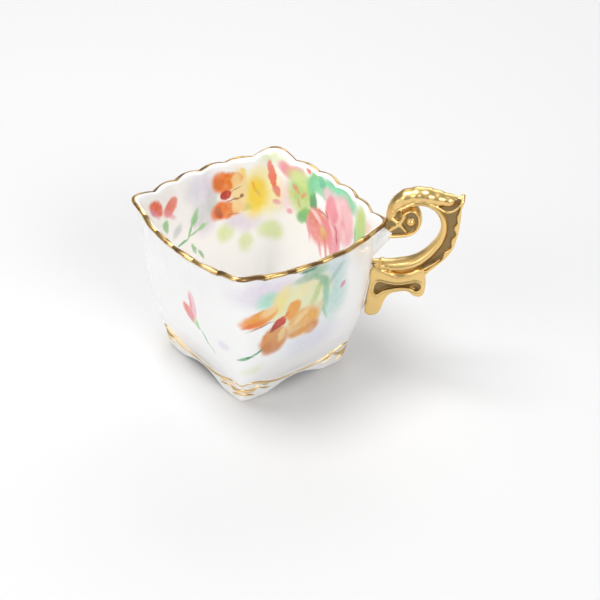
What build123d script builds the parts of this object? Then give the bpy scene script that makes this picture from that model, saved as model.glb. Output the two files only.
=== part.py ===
"""A miniature square porcelain teacup: flared scalloped bowl on four corner feet, gilt scroll handle.

The cup stands on z = 0 with its axis on Z. Its four corners lie on the +X, +Y, -X and -Y axes, and the
handle lies in the XZ plane at the +X corner. Lengths are millimetres and angles are degrees.
"""

import os
from math import cos, exp, log, pi, radians, sin, sqrt

from build123d import *

# Bowl wall, from the table up: height, half-width across the flats, reach of the corners, petal share.
wall_levels = (
    (0.0, 10.35, 14.0, 0.0),
    (1.2, 10.4, 14.1, 0.0),
    (2.6, 10.65, 14.4, 0.0),
    (4.8, 11.5, 15.25, 0.0),
    (8.0, 12.7, 16.15, 0.0),
    (12.0, 13.5, 17.05, 0.0),
    (16.0, 14.1, 17.65, 0.1),
    (20.5, 14.65, 18.15, 0.35),
    (24.5, 15.75, 19.05, 0.85),
    (26.6, 16.5, 19.9, 1.0),
)
corner_height = 26.6          # top of the four corner lobes
side_lobe_height = 26.0       # top of the side lobes
notch_height = 25.6           # bottom of the notches between lobes
notch_angles = (11.5, 28.0, 45.0, 62.0, 78.5)  # round each quarter of the rim
corner_lobe_angle = 9.0       # angular reach of a corner lobe
lobe_bulge = 0.45             # how far a side lobe stands out between its notches
rim_exponent = 2.69           # roundness of the rim's plan
points_per_quarter = 24       # points that shape a quarter of each level
bulge_offset = 0.6            # share of a lobe's bulge that its notches lose

# Bowl hollow, foot and arches.
wall = 1.15
lip = 0.9
corner_inset = 1.1            # how much more a corner is set in than a side, for an even wall
above_lip = 1.0               # how far the hollow runs past the lip, so that the bowl is open
flare = (0.35, 0.4)           # growth of the hollow's sides and corners above the lip
through = 25                  # reach of the cutters that run from the axis out through a wall
cutter_top = 30.6             # top of the rim's cutters, above every lobe
cutter_margin = 1.0           # gap from a cutter's end to the corner
floor_fillet_levels = ((3.5, 8.4, 10.9), (4.1, 9.5, 12.6), (5.4, 10.55, 14.0))
recess_height = 2.0
recess_half_width = 8.9
recess_corner_reach = 12.1
arch_half_width = 5.7
arch_height = 1.3

# Gilding and slip joints.
gilt = 0.1                    # thickness that stands in for the gilt films
rim_band = 0.85               # width of the gilt band down from the lip
slip = 0.2                    # thickness of the clay slip that joins the handle
slip_half_width = 1.1
rim_clearance = 0.3           # gap between the handle and the top of the lip
slip_box = 8                  # length of the box that cuts a slip joint, along the handle
scroll_start = (0, 2.9)       # where a foot's gilded strokes meet, on its corner
stroke_width = 0.45
tail_width = 0.55
curl_radius = 0.42
slip_spans = {"upper_slip_joint": (21.6, 24.6), "lower_slip_joint": (9.6, 19.2)}

# Handle.
flange_half_thickness = 1.05
relief_half_thickness = 1.6
recess_depth = 0.35
recess_middle = (21.8, 15.2)
recess_bar = (5.0, 0.9)       # length and width of the bone-shaped recess's bar
recess_tilt = -3
recess_ends = ((19.5, 15.3), (24.5, 15.0))
recess_end_radii = (0.6, 0.85)
handle_root = 15.0            # the handle's outline starts inside the wall and is cut to it
volute_centre = (23.2, 27.0)

sides = (45, 135, 225, 315)
corners = {"right": 0, "back": 90, "left": 180, "front": 270}


def rounded_square(angle, half_width, exponent):
    """Radius of a rounded square whose flats face 45 degrees from the axes."""
    a = radians(angle - 45)
    return half_width * (abs(cos(a)) ** exponent + abs(sin(a)) ** exponent) ** (-1 / exponent)


def petal_plan(angle, half_width, reach):
    """Radius of the scalloped plan: a soft square, a lobe on each corner and lobes along each side."""
    quarter = angle % 90
    from_corner = min(quarter, 90 - quarter)
    corner = reach - rounded_square(0, half_width, rim_exponent)
    radius = rounded_square(angle, half_width, rim_exponent)
    radius += corner * exp(-((from_corner / corner_lobe_angle) ** 2))
    for low, high in zip(notch_angles, notch_angles[1:]):
        if low <= quarter < high:
            radius += lobe_bulge * (sin(pi * (quarter - low) / (high - low)) - bulge_offset)
    return radius


def level(height, half_width, reach, petals=0.0):
    """One level section of the bowl as a flat face."""
    exponent = log(2) / log(sqrt(2) * half_width / reach)
    points = []
    for index in range(4 * points_per_quarter):
        angle = 90 * index / points_per_quarter
        radius = (1 - petals) * rounded_square(angle, half_width, exponent)
        radius += petals * petal_plan(angle, half_width, reach)
        points.append((radius * cos(radians(angle)), radius * sin(radians(angle))))
    # Every level has the same spline parameters, so that the loft through them stays light.
    curve = Edge.make_spline(points, periodic=True, parameters=list(range(len(points) + 1)))
    with BuildSketch(Plane.XY.offset(height)) as section:
        with BuildLine():
            add(curve)
        make_face()
    return section.sketch.face()


def bowl_levels(grow=0.0, top=0.0):
    """Sections of the bowl's outside, grown outwards, with the last one raised."""
    sections = [level(z, half + grow, reach + grow, petals) for z, half, reach, petals in wall_levels[:-1]]
    z, half, reach, petals = wall_levels[-1]
    return sections + [level(z + top, half + grow, reach + grow, petals)]


def hollow_levels(shrink=0.0):
    """Sections of the bowl's inside, from the floor to just above the lip."""
    sections = [level(z, half - shrink, reach - shrink) for z, half, reach in floor_fillet_levels]
    for z, half, reach, petals in wall_levels[4:]:
        inset = wall + (lip - wall) * z / corner_height + shrink
        sections.append(level(z, half - inset, reach - corner_inset * inset, petals))
    z, half, reach, petals = wall_levels[-1]
    inset = lip + shrink
    return sections + [level(z + above_lip, half + flare[0] - inset, reach + flare[1] - inset, petals)]


def side_plane(angle):
    """Upright plane through the axis that faces one side of the bowl."""
    facing = Vector(cos(radians(angle)), sin(radians(angle)), 0)
    return Plane((0, 0, 0), x_dir=facing.cross(Vector(0, 0, 1)) * -1, z_dir=facing)


def rim_cutter(angle, lift=0.0):
    """Face above the scalloped edge of one side, drawn on that side's plane."""
    notches = [rounded_square(a, wall_levels[-1][1], rim_exponent) * sin(radians(a - 45)) for a in notch_angles]
    corner = wall_levels[-1][2] * sin(radians(45)) - cutter_margin
    with BuildSketch(side_plane(angle)) as cutter:
        with BuildLine():
            start = (-corner, corner_height + lift)
            first = (notches[0], notch_height + lift)
            Polyline((corner, cutter_top), (-corner, cutter_top), start)
            Spline(start, first, tangents=((1, 0), (1, -0.6)))
            for left, right in zip(notches, notches[1:]):
                middle = ((left + right) / 2, side_lobe_height + lift)
                ThreePointArc((left, notch_height + lift), middle, (right, notch_height + lift))
            last = (notches[-1], notch_height + lift)
            finish = (corner, corner_height + lift)
            Spline(last, finish, tangents=((1, 0.6), (1, 0)))
            Line(finish, (corner, cutter_top))
        make_face()
    return cutter.sketch


def foot_arch(angle):
    """The low arch between two feet on one side."""
    with BuildSketch(side_plane(angle)) as arch:
        with BuildLine():
            Spline(
                (-arch_half_width, 0),
                (-0.55 * arch_half_width, 0.8 * arch_height),
                (0, arch_height),
                (0.55 * arch_half_width, 0.8 * arch_height),
                (arch_half_width, 0),
                tangents=((1, 0.15), (1, -0.15)),
            )
            Line((arch_half_width, 0), (-arch_half_width, 0))
        make_face()
    return arch.sketch


def loop_opening():
    """The crescent of open space between the handle's ring and its volute."""
    x, z = volute_centre
    with BuildSketch(Plane.XZ) as opening:
        with BuildLine():
            ring = Spline(
                (17.6, 19.9),
                (20.4, 19.9),
                (23.2, 20.4),
                (25.8, 21.9),
                (27.4, 24.6),
                (27.8, 27.6),
                (26.5, 29.9),
                (24.3, 29.7),
            )
            curl = Spline(ring @ 1, (x + 1.8, z + 0.4), (x + 1.4, z - 1.9), (x - 1.2, z - 3.0), (17.6, 20.9))
            Line(curl @ 1, ring @ 0)
        make_face()
    return opening.sketch


def ring_relief():
    """The raised ring around the opening, with the volute on its near side."""
    with BuildSketch(Plane.XZ) as ring:
        with BuildLine():
            outer = Spline(
                (handle_root, 18.7),
                (20.4, 18.6),
                (23.8, 19.2),
                (26.9, 21.1),
                (28.7, 24.2),
                (29.1, 27.8),
                (27.2, 30.9),
            )
            inner = Spline(outer @ 1, (24.6, 31.0), (21.8, 29.6), (20.2, 27.0), (19.0, 24.8), (handle_root, 22.8))
            Line(inner @ 1, outer @ 0)
        make_face()
    return ring.sketch


def handle_outline():
    """Side view of the handle: scroll above, bracket and tapering tail below."""
    with BuildSketch(Plane.XZ) as outline:
        with BuildLine():
            crest = Spline(
                (handle_root, 25.0),
                (19.3, 27.0),
                (20.1, 30.5),
                (22.1, 32.7),
                (25.2, 33.3),
                (28.3, 32.7),
                (31.0, 32.7),
            )
            back = Spline(crest @ 1, (30.9, 28.2), (30.2, 23.2), (28.0, 19.6), (25.7, 16.8))
            lobe = ThreePointArc(back @ 1, (26.4, 14.9), (25.1, 13.2))
            bracket = Spline(lobe @ 1, (23.0, 14.0), (20.7, 13.1), (19.9, 10.7), (18.8, 8.6))
            Polyline(bracket @ 1, (handle_root, 8.6), crest @ 0)
        make_face()
    return outline.sketch


def crest_relief():
    """The swelling crest that runs from the rim over the top of the scroll to its pointed tip."""
    with BuildSketch(Plane.XZ) as crest:
        with BuildLine():
            over = Spline(
                (handle_root, 25.2),
                (19.6, 27.4),
                (20.4, 30.6),
                (22.3, 32.5),
                (25.2, 33.1),
                (28.3, 32.5),
                (30.8, 32.5),
            )
            under = Spline(
                over @ 1,
                (29.0, 30.6),
                (27.0, 31.1),
                (24.2, 31.4),
                (21.6, 29.9),
                (20.8, 27.2),
                (handle_root, 24.0),
            )
            Line(under @ 1, over @ 0)
        make_face()
    return crest.sketch


def bracket_recess(face):
    """Bone-shaped recess, drawn on the bracket's front face (1) or its back face (-1)."""
    with BuildSketch(Plane.XZ.offset(face * flange_half_thickness)) as recess:
        with Locations(recess_middle):
            Rectangle(*recess_bar, rotation=recess_tilt)
        with Locations(*recess_ends):
            Ellipse(*recess_end_radii)
    return recess.sketch


def foot_scroll(angle):
    """Brushed scroll that frames a foot: two strokes from the corner, each with a curl at its end."""
    with BuildSketch(side_plane(angle)) as scroll:
        for hand in (-1, 1):
            with BuildLine() as stroke:
                Spline(scroll_start, (1.6 * hand, 3.3), (3.4 * hand, 2.5), (5.4 * hand, 1.9))
            trace(stroke.line, line_width=stroke_width)
            with BuildLine() as tail:
                Spline(scroll_start, (0.9 * hand, 1.9), (2.0 * hand, 1.5))
            trace(tail.line, line_width=tail_width)
            with Locations((2.1 * hand, 1.5), (3.1 * hand, 2.3)):
                Circle(curl_radius)
    return scroll.sketch


with BuildPart() as bowl_blank:
    loft(bowl_levels())

with BuildPart() as slip_blank:
    loft(bowl_levels(slip, rim_clearance))

with BuildPart() as cup_body:
    add(bowl_blank.part)
    loft(hollow_levels(), mode=Mode.SUBTRACT)
    extrude(level(0, recess_half_width, recess_corner_reach), amount=recess_height, mode=Mode.SUBTRACT)
    for side in sides:
        extrude(rim_cutter(side), amount=through, mode=Mode.SUBTRACT)
        extrude(foot_arch(side), amount=through, mode=Mode.SUBTRACT)
cup_body.part.label = "cup_body"

with BuildPart() as rim_gilding:
    loft(bowl_levels(gilt, gilt))
    loft(hollow_levels(gilt), mode=Mode.SUBTRACT)
    for side in sides:
        extrude(rim_cutter(side, gilt), amount=through, mode=Mode.SUBTRACT)
    with BuildPart(mode=Mode.PRIVATE) as below_band:
        loft(bowl_levels(1.0, -rim_band))
        for side in sides:
            extrude(rim_cutter(side, -rim_band), amount=through, mode=Mode.SUBTRACT)
    add(below_band.part, mode=Mode.SUBTRACT)
    add(cup_body.part, mode=Mode.SUBTRACT)
rim_gilding.part.label = "rim_gilding"

with BuildPart() as handle:
    extrude(handle_outline(), amount=flange_half_thickness, both=True)
    extrude(crest_relief(), amount=relief_half_thickness, both=True)
    extrude(ring_relief(), amount=relief_half_thickness, both=True)
    extrude(loop_opening(), amount=relief_half_thickness, both=True, mode=Mode.SUBTRACT)
    for face in (-1, 1):
        extrude(bracket_recess(face), amount=-face * recess_depth, mode=Mode.SUBTRACT)
    add(slip_blank.part, mode=Mode.SUBTRACT)
handle.part.label = "handle"

slip_joints = []
for name, (low, high) in slip_spans.items():
    with BuildPart() as joint:
        add(slip_blank.part)
        with Locations(((wall_levels[-1][2] + handle_root) / 2, 0, (low + high) / 2)):
            Box(slip_box, 2 * slip_half_width, high - low, mode=Mode.INTERSECT)
        add(bowl_blank.part, mode=Mode.SUBTRACT)
    joint.part.label = name
    slip_joints.append(joint.part)

foot_gildings = []
for name, corner in corners.items():
    with BuildPart() as gilding:
        loft(bowl_levels(gilt))
        extrude(foot_scroll(corner), amount=through, mode=Mode.INTERSECT)
        add(bowl_blank.part, mode=Mode.SUBTRACT)
    gilding.part.label = f"{name}_foot_gilding"
    foot_gildings.append(gilding.part)

os.makedirs("parts", exist_ok=True)
for piece in [cup_body.part, handle.part, rim_gilding.part, *slip_joints, *foot_gildings]:
    export_step(piece, f"parts/{piece.label}.step")
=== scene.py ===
"""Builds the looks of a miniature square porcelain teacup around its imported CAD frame.

The bowl, its gilding, the slip joints and the scroll handle are modelled again as smooth meshes in the
places that the CAD nodes hold, glazed, gilded and painted with enamel flowers, and set on a pale floor.
Shapes are worked out in millimetres and turned to metres when a mesh is finished.
"""

from math import atan2, cos, degrees, exp, log, pi, radians, sin, sqrt

import bpy
from bpy.props import FloatProperty, FloatVectorProperty, IntProperty, PointerProperty
from mathutils import Euler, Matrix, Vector


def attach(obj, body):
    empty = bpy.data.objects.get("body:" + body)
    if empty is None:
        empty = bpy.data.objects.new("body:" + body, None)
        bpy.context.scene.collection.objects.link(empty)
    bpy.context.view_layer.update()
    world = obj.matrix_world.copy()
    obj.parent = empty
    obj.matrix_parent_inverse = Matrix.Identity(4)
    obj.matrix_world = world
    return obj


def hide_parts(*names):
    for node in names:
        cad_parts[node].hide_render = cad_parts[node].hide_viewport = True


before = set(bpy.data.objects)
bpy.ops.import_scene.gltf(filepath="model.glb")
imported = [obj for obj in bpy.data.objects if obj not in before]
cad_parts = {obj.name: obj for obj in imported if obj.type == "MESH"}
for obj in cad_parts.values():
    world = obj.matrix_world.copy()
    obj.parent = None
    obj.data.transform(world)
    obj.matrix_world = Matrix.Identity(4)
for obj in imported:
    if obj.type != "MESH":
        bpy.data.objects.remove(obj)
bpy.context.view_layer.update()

bl_info = {
    "name": "Square Porcelain Teacup",
    "version": (1, 0, 0),
    "blender": (4, 5, 0),
    "location": "View3D > Sidebar > Teacup",
    "description": "Builds a miniature painted porcelain teacup around its CAD frame",
    "category": "Object",
}

MM = 0.001
LEFT, FRONT, RIGHT, BACK = 180, 270, 0, 90
UV_SPAN = 60.0                # millimetres of wall that one unit of the wall map covers
WANDER = 0.9                  # millimetres that a brush stroke's edge wanders

# The bowl's wall, from the table up: height, half-width across the flats, reach of the corners and
# how much the scalloped plan shows there.
WALL = (
    (0.0, 10.35, 14.0, 0.0),
    (1.2, 10.4, 14.1, 0.0),
    (2.6, 10.65, 14.4, 0.0),
    (4.8, 11.5, 15.25, 0.0),
    (8.0, 12.7, 16.15, 0.0),
    (12.0, 13.5, 17.05, 0.0),
    (16.0, 14.1, 17.65, 0.06),
    (20.5, 14.65, 18.15, 0.3),
    (24.5, 15.75, 19.05, 0.85),
    (26.0, 16.3, 19.75, 1.0),
)
NOTCHES = (11.5, 28.0, 45.0, 62.0, 78.5)      # angles of the rim's notches in each quarter
LOBED_EXPONENT = 2.69         # how square the rim's plan is between its corners
LOBE_SWELL = 0.3              # how far a lobe swells out past a notch
CORNER_INSET = 1.12           # how much further a corner moves in than a flat, for the same wall
FOOT_HALF_WIDTH = 10.4        # half the width across the flats of the feet
LIP_DROP = 0.3                # the lip's rounding starts this far below its edge
LIP_ROUND = 0.36              # height of that rounding

# Plans of the hidden and inner parts as half-width across the flats and reach of the corners, with a
# height first in the cove, where the bowl's walls run down into its floor.
RECESS_PLAN = (8.9, 12.1)
COVE = ((4.9, 10.2, 13.55), (4.3, 9.7, 12.85), (3.85, 9.05, 11.9), (3.58, 8.2, 10.7))
FLOOR_PLAN = (7.2, 9.3)


def tidy_select(*objects):
    """Leaves object mode's selection holding only these objects, the first of them active."""
    bpy.ops.object.select_all(action="DESELECT")
    for item in objects:
        item.select_set(True)
    if objects:
        bpy.context.view_layer.objects.active = objects[0]


def linear(hex_colour):
    """A hex sRGB colour as the opaque linear RGBA that the shaders use."""
    channels = [int(hex_colour[i:i + 2], 16) / 255 for i in (1, 3, 5)]
    return tuple(c / 12.92 if c <= 0.04045 else ((c + 0.055) / 1.055) ** 2.4 for c in channels) + (1.0,)


def smooth(low, high, value):
    """Smooth step from 0 at low to 1 at high."""
    t = min(1.0, max(0.0, (value - low) / (high - low)))
    return t * t * (3 - 2 * t)


def along(table, height, column):
    """A column of a height table, followed by a smooth curve through its rows."""
    last = len(table) - 2
    i = next((k for k in range(last) if height < table[k + 1][0]), last)
    rows = [table[max(0, min(last + 1, k))] for k in (i - 1, i, i + 1, i + 2)]
    span = rows[2][0] - rows[1][0]
    t = (height - rows[1][0]) / span
    slopes = []
    for before, after in ((rows[0], rows[2]), (rows[1], rows[3])):
        slopes.append(span * (after[column] - before[column]) / max(after[0] - before[0], 1e-6))
    rise = rows[2][column] - rows[1][column]
    bend = slopes[0] * t * (1 - t) ** 2 - slopes[1] * t * t * (1 - t)
    return rows[1][column] + rise * t * t * (3 - 2 * t) + bend


def rounded_square(angle, half_width, exponent):
    """Radius of a rounded square whose flats face 45 degrees from the axes."""
    a = radians(angle - 45)
    return half_width * (abs(cos(a)) ** exponent + abs(sin(a)) ** exponent) ** (-1 / exponent)


def square_to_reach(angle, half_width, reach):
    """Radius of the rounded square with this half-width whose corners reach this far."""
    return rounded_square(angle, half_width, log(2) / log(sqrt(2) * half_width / reach))


def scallop(angle):
    """Height of the lobes between the rim's notches, from 0 in a notch to 1 on a side lobe's middle."""
    quarter = angle % 90
    for low, high in zip(NOTCHES, NOTCHES[1:]):
        if low <= quarter <= high:
            return sin(pi * (quarter - low) / (high - low))
    return 0.0


def corner_share(angle, reach=9.0):
    """1 on a corner of the bowl, falling away to the sides."""
    quarter = angle % 90
    return exp(-((min(quarter, 90 - quarter) / reach) ** 2))


def wall_radius(angle, height, inset=0.0):
    """Radius of the bowl's wall at this height, set in from the outer face by inset."""
    height = min(max(height, 0.0), WALL[-1][0])
    half, reach = along(WALL, height, 1) - inset, along(WALL, height, 2) - CORNER_INSET * inset
    petals = along(WALL, height, 3)
    plain = square_to_reach(angle, half, reach)
    if petals <= 0:
        return plain
    lobed = rounded_square(angle, half, LOBED_EXPONENT)
    lobed += (reach - rounded_square(0, half, LOBED_EXPONENT)) * corner_share(angle)
    lobed += LOBE_SWELL * (scallop(angle) - 0.6) * (1 - corner_share(angle, 7.0))
    return plain + petals * (lobed - plain)


def rim_edge(angle, cup):
    """Height of the scalloped lip."""
    quarter = angle % 90
    from_corner = min(quarter, 90 - quarter)
    low = cup.rim_height - cup.notch_depth
    if from_corner < NOTCHES[0]:
        return low + (cup.notch_depth + cup.corner_rise) * cos(pi / 2 * from_corner / NOTCHES[0]) ** 0.8
    return low + cup.notch_depth * scallop(angle)


def foot_arch(angle, cup):
    """How far the low arch between two feet lifts the foot's edge."""
    off_middle = radians((angle % 90) - 45)
    t = FOOT_HALF_WIDTH * sin(off_middle) / cos(off_middle) / cup.arch_half_width
    return cup.arch_height * (1 - t * t) ** 1.5 if abs(t) < 1 else 0.0


# The bowl's material slots. A painted surface also has the slot before its own, for the walls that lie
# anticlockwise of the front and back corners, because one material can't hold every stroke.
PLAIN, OUTSIDE, INSIDE = 0, 2, 4

# The foot's ring, from the recess to the outer face. Its points stand out from the recess or in from the
# face, and above the foot's lowest line.
RECESS_SHARES = (0, 0.35, 0.65, 0.88, 0.965)      # the recess's ceiling, as shares of its radius
RECESS_TURN = (0.02, 0.35)                        # out from the recess and down from its ceiling
EDGE_AT_RECESS = ((0.08, 0.32), (0.18, 0.08), (0.42, 0.0))
EDGE_AT_FACE = ((0.55, 0.0, PLAIN), (0.22, 0.04, OUTSIDE))
FACE_ROWS = (0.16, 0.4)       # heights on the outer face, over its rounded edge

OUTER_FROM, INNER_TO = 0.8, 5.6                   # heights of the plain walls' lowest rows
INNER_DROP = 0.35             # the inner wall starts this far below the lip's edge
OUTER_STEPS, INNER_STEPS, LIP_STEPS = 60, 48, 8
ARCH_FADE = 3.6               # height at which an arch no longer lifts the wall
LIP_FADE = 16.0               # height from which the wall follows the lip's lobes
FLOOR_SHARES = (1, 0.75, 0.5, 0.25, 0)


def bowl_section(angle, cup):
    """The bowl cut at one angle: (radius, height, surface) from the recess, over the lip, to the floor."""
    arch, edge, top = foot_arch(angle, cup), rim_edge(angle, cup), cup.rim_height
    recess, ceiling = square_to_reach(angle, *RECESS_PLAN), cup.recess_height
    foot = wall_radius(angle, 0)
    points = [(recess * share, ceiling, PLAIN) for share in RECESS_SHARES]
    points.append((recess + RECESS_TURN[0], ceiling - RECESS_TURN[1], PLAIN))
    points += [(recess + out, arch + up, PLAIN) for out, up in EDGE_AT_RECESS]
    points += [(foot - back, arch + up, surface) for back, up, surface in EDGE_AT_FACE]

    def lifted(z):
        return z + arch * (1 - smooth(0, ARCH_FADE, z)) + (edge - top) * smooth(LIP_FADE, top, z)

    rise = top - LIP_DROP - OUTER_FROM
    outer_rows = [OUTER_FROM + rise * k / OUTER_STEPS for k in range(OUTER_STEPS + 1)]
    for z in (*FACE_ROWS, *outer_rows):
        points.append((wall_radius(angle, z), lifted(z), OUTSIDE))
    outer, inner = wall_radius(angle, top), wall_radius(angle, top, cup.lip)
    for k in range(1, LIP_STEPS):
        turn = pi * k / LIP_STEPS
        radius = (outer + inner) / 2 + (outer - inner) / 2 * cos(turn)
        points.append((radius, edge - LIP_DROP + LIP_ROUND * sin(turn), PLAIN))
    fall = top - INNER_DROP - INNER_TO
    for z in [top - INNER_DROP - fall * k / INNER_STEPS for k in range(INNER_STEPS + 1)]:
        inset = cup.wall + (cup.lip - cup.wall) * z / top
        points.append((wall_radius(angle, z, inset), lifted(z), INSIDE))
    for z, half_width, reach in COVE:
        points.append((square_to_reach(angle, half_width, reach), z, PLAIN))
    floor = square_to_reach(angle, *FLOOR_PLAN)
    return points + [(floor * share, cup.floor_top, PLAIN) for share in FLOOR_SHARES]


# The gold band outside the lip: shares of its width down from the lip's edge, and how far the gold
# stands on the glaze there, as a share of the gilt. Its lower edge dips into the glaze.
BAND_ROWS = ((1.0, -0.3), (0.97, 0.6), (0.7, 1.5), (0.45, 1.2))
BAND_WAVES = ((0.14, 23, 0), (0.1, 41, 50))       # how the band's width wavers
COVER_WAVES = ((0.08, 17, 20),)                   # how its inner edge wavers
COVER = 0.55                  # share of the half turn over the lip that the gold covers
GILT_ROOT = 0.5               # the band closes inside the porcelain, this far below the lip's edge


def waver(angle, waves):
    """Waves round the rim, given as size, number round the rim and start in degrees, added up."""
    return sum(size * sin(radians(number * angle + start)) for size, number, start in waves)


def gilding_section(angle, cup):
    """The gold band cut at one angle: a closed ring of points over the lip and back through the porcelain.

    Its edges waver, as a band that is brushed on by hand does.
    """
    edge, top, gilt = rim_edge(angle, cup), cup.rim_height, cup.gilt
    band = cup.band * (1 + waver(angle, BAND_WAVES))
    outer, inner = wall_radius(angle, top), wall_radius(angle, top, cup.lip)
    middle, half = (outer + inner) / 2, (outer - inner) / 2
    points = []
    for share, raised in BAND_ROWS:
        points.append((wall_radius(angle, top - band * share) + gilt * raised, edge - band * share, PLAIN))
    covered = (COVER + waver(angle, COVER_WAVES)) * pi
    for k in range(1, LIP_STEPS + 1):
        turn = covered * k / LIP_STEPS
        height = edge - LIP_DROP + (LIP_ROUND + gilt) * sin(turn)
        points.append((middle + (half + gilt) * cos(turn), height, PLAIN))
    inner_edge = middle + (half - gilt) * cos(covered)
    points.append((inner_edge, edge - LIP_DROP + (LIP_ROUND - gilt) * sin(covered), PLAIN))
    return points + [(middle, edge - GILT_ROOT, PLAIN)]


def from_corner(x, y, height, corner, inset):
    """Millimetres along the wall from one corner, negative on its clockwise side."""
    offset = (degrees(atan2(y, x)) - corner + 180) % 360 - 180
    facing = radians(corner + (45 if offset >= 0 else -45))
    along_flat = -x * sin(facing) + y * cos(facing)
    at_corner = wall_radius(corner, height, inset) * sin(pi / 4)
    return along_flat + at_corner if offset >= 0 else along_flat - at_corner


def on_wall(u, height, corner, raised=0.0):
    """The point on the outer wall that lies u millimetres along it from a corner."""
    low, high = (0.0, 90.0) if u >= 0 else (-90.0, 0.0)
    for _ in range(30):
        middle = (low + high) / 2
        radius, turn = wall_radius(corner + middle, height), radians(corner + middle)
        if from_corner(radius * cos(turn), radius * sin(turn), height, corner, 0) < u:
            low = middle
        else:
            high = middle
    radius, turn = wall_radius(corner + low, height) + raised, radians(corner + low)
    return Vector((radius * cos(turn), radius * sin(turn), height))


def wrapped_grid(name, columns, section, closed):
    """A grid that is added flat and wrapped round the axis: columns go round, rows follow the section.

    Its wall map holds millimetres along the wall from the front or back corner, and the height.
    """
    sections = [section(LEFT + 360 * k / columns) for k in range(columns)]
    rows = len(sections[0]) - (0 if closed else 1)
    bpy.ops.object.select_all(action="DESELECT")
    bpy.ops.mesh.primitive_grid_add(x_subdivisions=columns, y_subdivisions=rows, size=1)
    piece = bpy.context.object
    piece.name = piece.data.name = name
    if len(piece.data.vertices) != (columns + 1) * (rows + 1):
        raise RuntimeError("the grid has an unexpected number of points")
    place = []
    for vertex in piece.data.vertices:
        column, row = round((vertex.co.x + 0.5) * columns), round((vertex.co.y + 0.5) * rows)
        turn = radians(LEFT + 360 * (column % columns) / columns)
        radius, height, _ = sections[column % columns][row % len(sections[0])]
        vertex.co = Vector((radius * cos(turn), radius * sin(turn), height))
        place.append((column, row))
    wall_map = piece.data.uv_layers[0]
    wall_map.name = "wall"
    for face in piece.data.polygons:
        column = min(place[v][0] for v in face.vertices)
        row = min(place[v][1] for v in face.vertices)
        surface = sections[0][row][2]
        corner, inset = (FRONT if column < columns / 2 else BACK), (1.0 if surface == INSIDE else 0.0)
        past_corner = (column // (columns // 4)) % 2
        face.material_index = surface - past_corner if surface else PLAIN
        for loop in face.loop_indices:
            x, y, z = piece.data.vertices[piece.data.loops[loop].vertex_index].co
            wall_map.data[loop].uv = (0.5 + from_corner(x, y, z, corner, inset) / UV_SPAN, z / UV_SPAN)
    bpy.ops.object.mode_set(mode="EDIT")
    bpy.ops.mesh.select_all(action="SELECT")
    bpy.ops.mesh.remove_doubles(threshold=1e-5)
    bpy.ops.mesh.normals_make_consistent(inside=False)
    bpy.ops.object.mode_set(mode="OBJECT")
    bpy.ops.object.shade_smooth()
    return piece


def path_curve(name, points, closed=False):
    """A smooth curve through (x, y, z, radius) points."""
    bpy.ops.curve.primitive_bezier_curve_add(radius=1)
    curve = bpy.context.object
    curve.name = curve.data.name = name
    spline = curve.data.splines[0]
    spline.bezier_points.add(len(points) - 2)
    for knot, (x, y, z, radius) in zip(spline.bezier_points, points):
        knot.co = (x, y, z)
        knot.radius = radius
        knot.handle_left_type = knot.handle_right_type = "AUTO"
    spline.use_cyclic_u = closed
    spline.radius_interpolation = "CARDINAL"
    spline.resolution_u = 10
    return curve


def as_mesh(curve):
    """Turns the curve into a mesh with its doubles merged."""
    tidy_select(curve)
    bpy.ops.object.convert(target="MESH")
    piece = bpy.context.object
    bpy.ops.object.transform_apply(location=True, rotation=True, scale=True)
    bpy.ops.object.mode_set(mode="EDIT")
    bpy.ops.mesh.select_all(action="SELECT")
    bpy.ops.mesh.remove_doubles(threshold=1e-4)
    bpy.ops.mesh.normals_make_consistent(inside=False)
    bpy.ops.object.mode_set(mode="OBJECT")
    return piece


def roll(name, points, thickness=1.0, side=0.0):
    """A rounded roll along (x, z, radius) points; thickness scales it across the handle."""
    curve = path_curve(name, [(x, 0, z, radius) for x, z, radius in points])
    curve.data.bevel_depth = 1.0
    curve.data.bevel_resolution = 6
    curve.data.use_fill_caps = True
    curve.scale.y = thickness
    curve.location.y = side
    return as_mesh(curve)


PLATE_EDGE = 0.22             # radius of the rounding round a plate


def plate(name, outline, half_thickness, hole=()):
    """A flat plate with rounded edges, inside a closed (x, z) outline."""
    curve = path_curve(name, [(x, z, 0, 1) for x, z in outline], closed=True)
    curve.data.dimensions = "2D"
    curve.data.fill_mode = "BOTH"
    if hole:
        inner = curve.data.splines.new("BEZIER")
        inner.bezier_points.add(len(hole) - 1)
        for knot, (x, z) in zip(inner.bezier_points, hole):
            knot.co = (x, z, 0)
            knot.handle_left_type = knot.handle_right_type = "AUTO"
        inner.use_cyclic_u = True
    curve.data.extrude = half_thickness - PLATE_EDGE
    curve.data.bevel_depth = PLATE_EDGE
    curve.data.bevel_resolution = 3
    curve.data.offset = -PLATE_EDGE
    curve.rotation_euler.x = radians(90)
    return as_mesh(curve)


def bead(name, x, z, size, thickness):
    """A rounded bead, later melted into the pieces round it."""
    bpy.ops.mesh.primitive_uv_sphere_add(segments=24, ring_count=16, radius=1, location=(x, 0, z))
    piece = bpy.context.object
    piece.name = name
    piece.scale = (size[0], thickness, size[1])
    bpy.ops.object.transform_apply(location=True, rotation=True, scale=True)
    return piece


def melt(name, pieces, voxel, smoothing):
    """Joins the pieces and melts them into one skin, as slip and glaze do."""
    tidy_select(*pieces)
    bpy.ops.object.join()
    piece = bpy.context.object
    piece.name = piece.data.name = name
    melted = piece.modifiers.new("melt", "REMESH")
    melted.mode = "VOXEL"
    melted.voxel_size = voxel
    bpy.ops.object.modifier_apply(modifier=melted.name)
    soften = piece.modifiers.new("soften", "SMOOTH")
    soften.factor = 0.5
    soften.iterations = smoothing
    bpy.ops.object.modifier_apply(modifier=soften.name)
    bpy.ops.object.shade_smooth()
    piece.data.materials.clear()
    return piece


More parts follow.
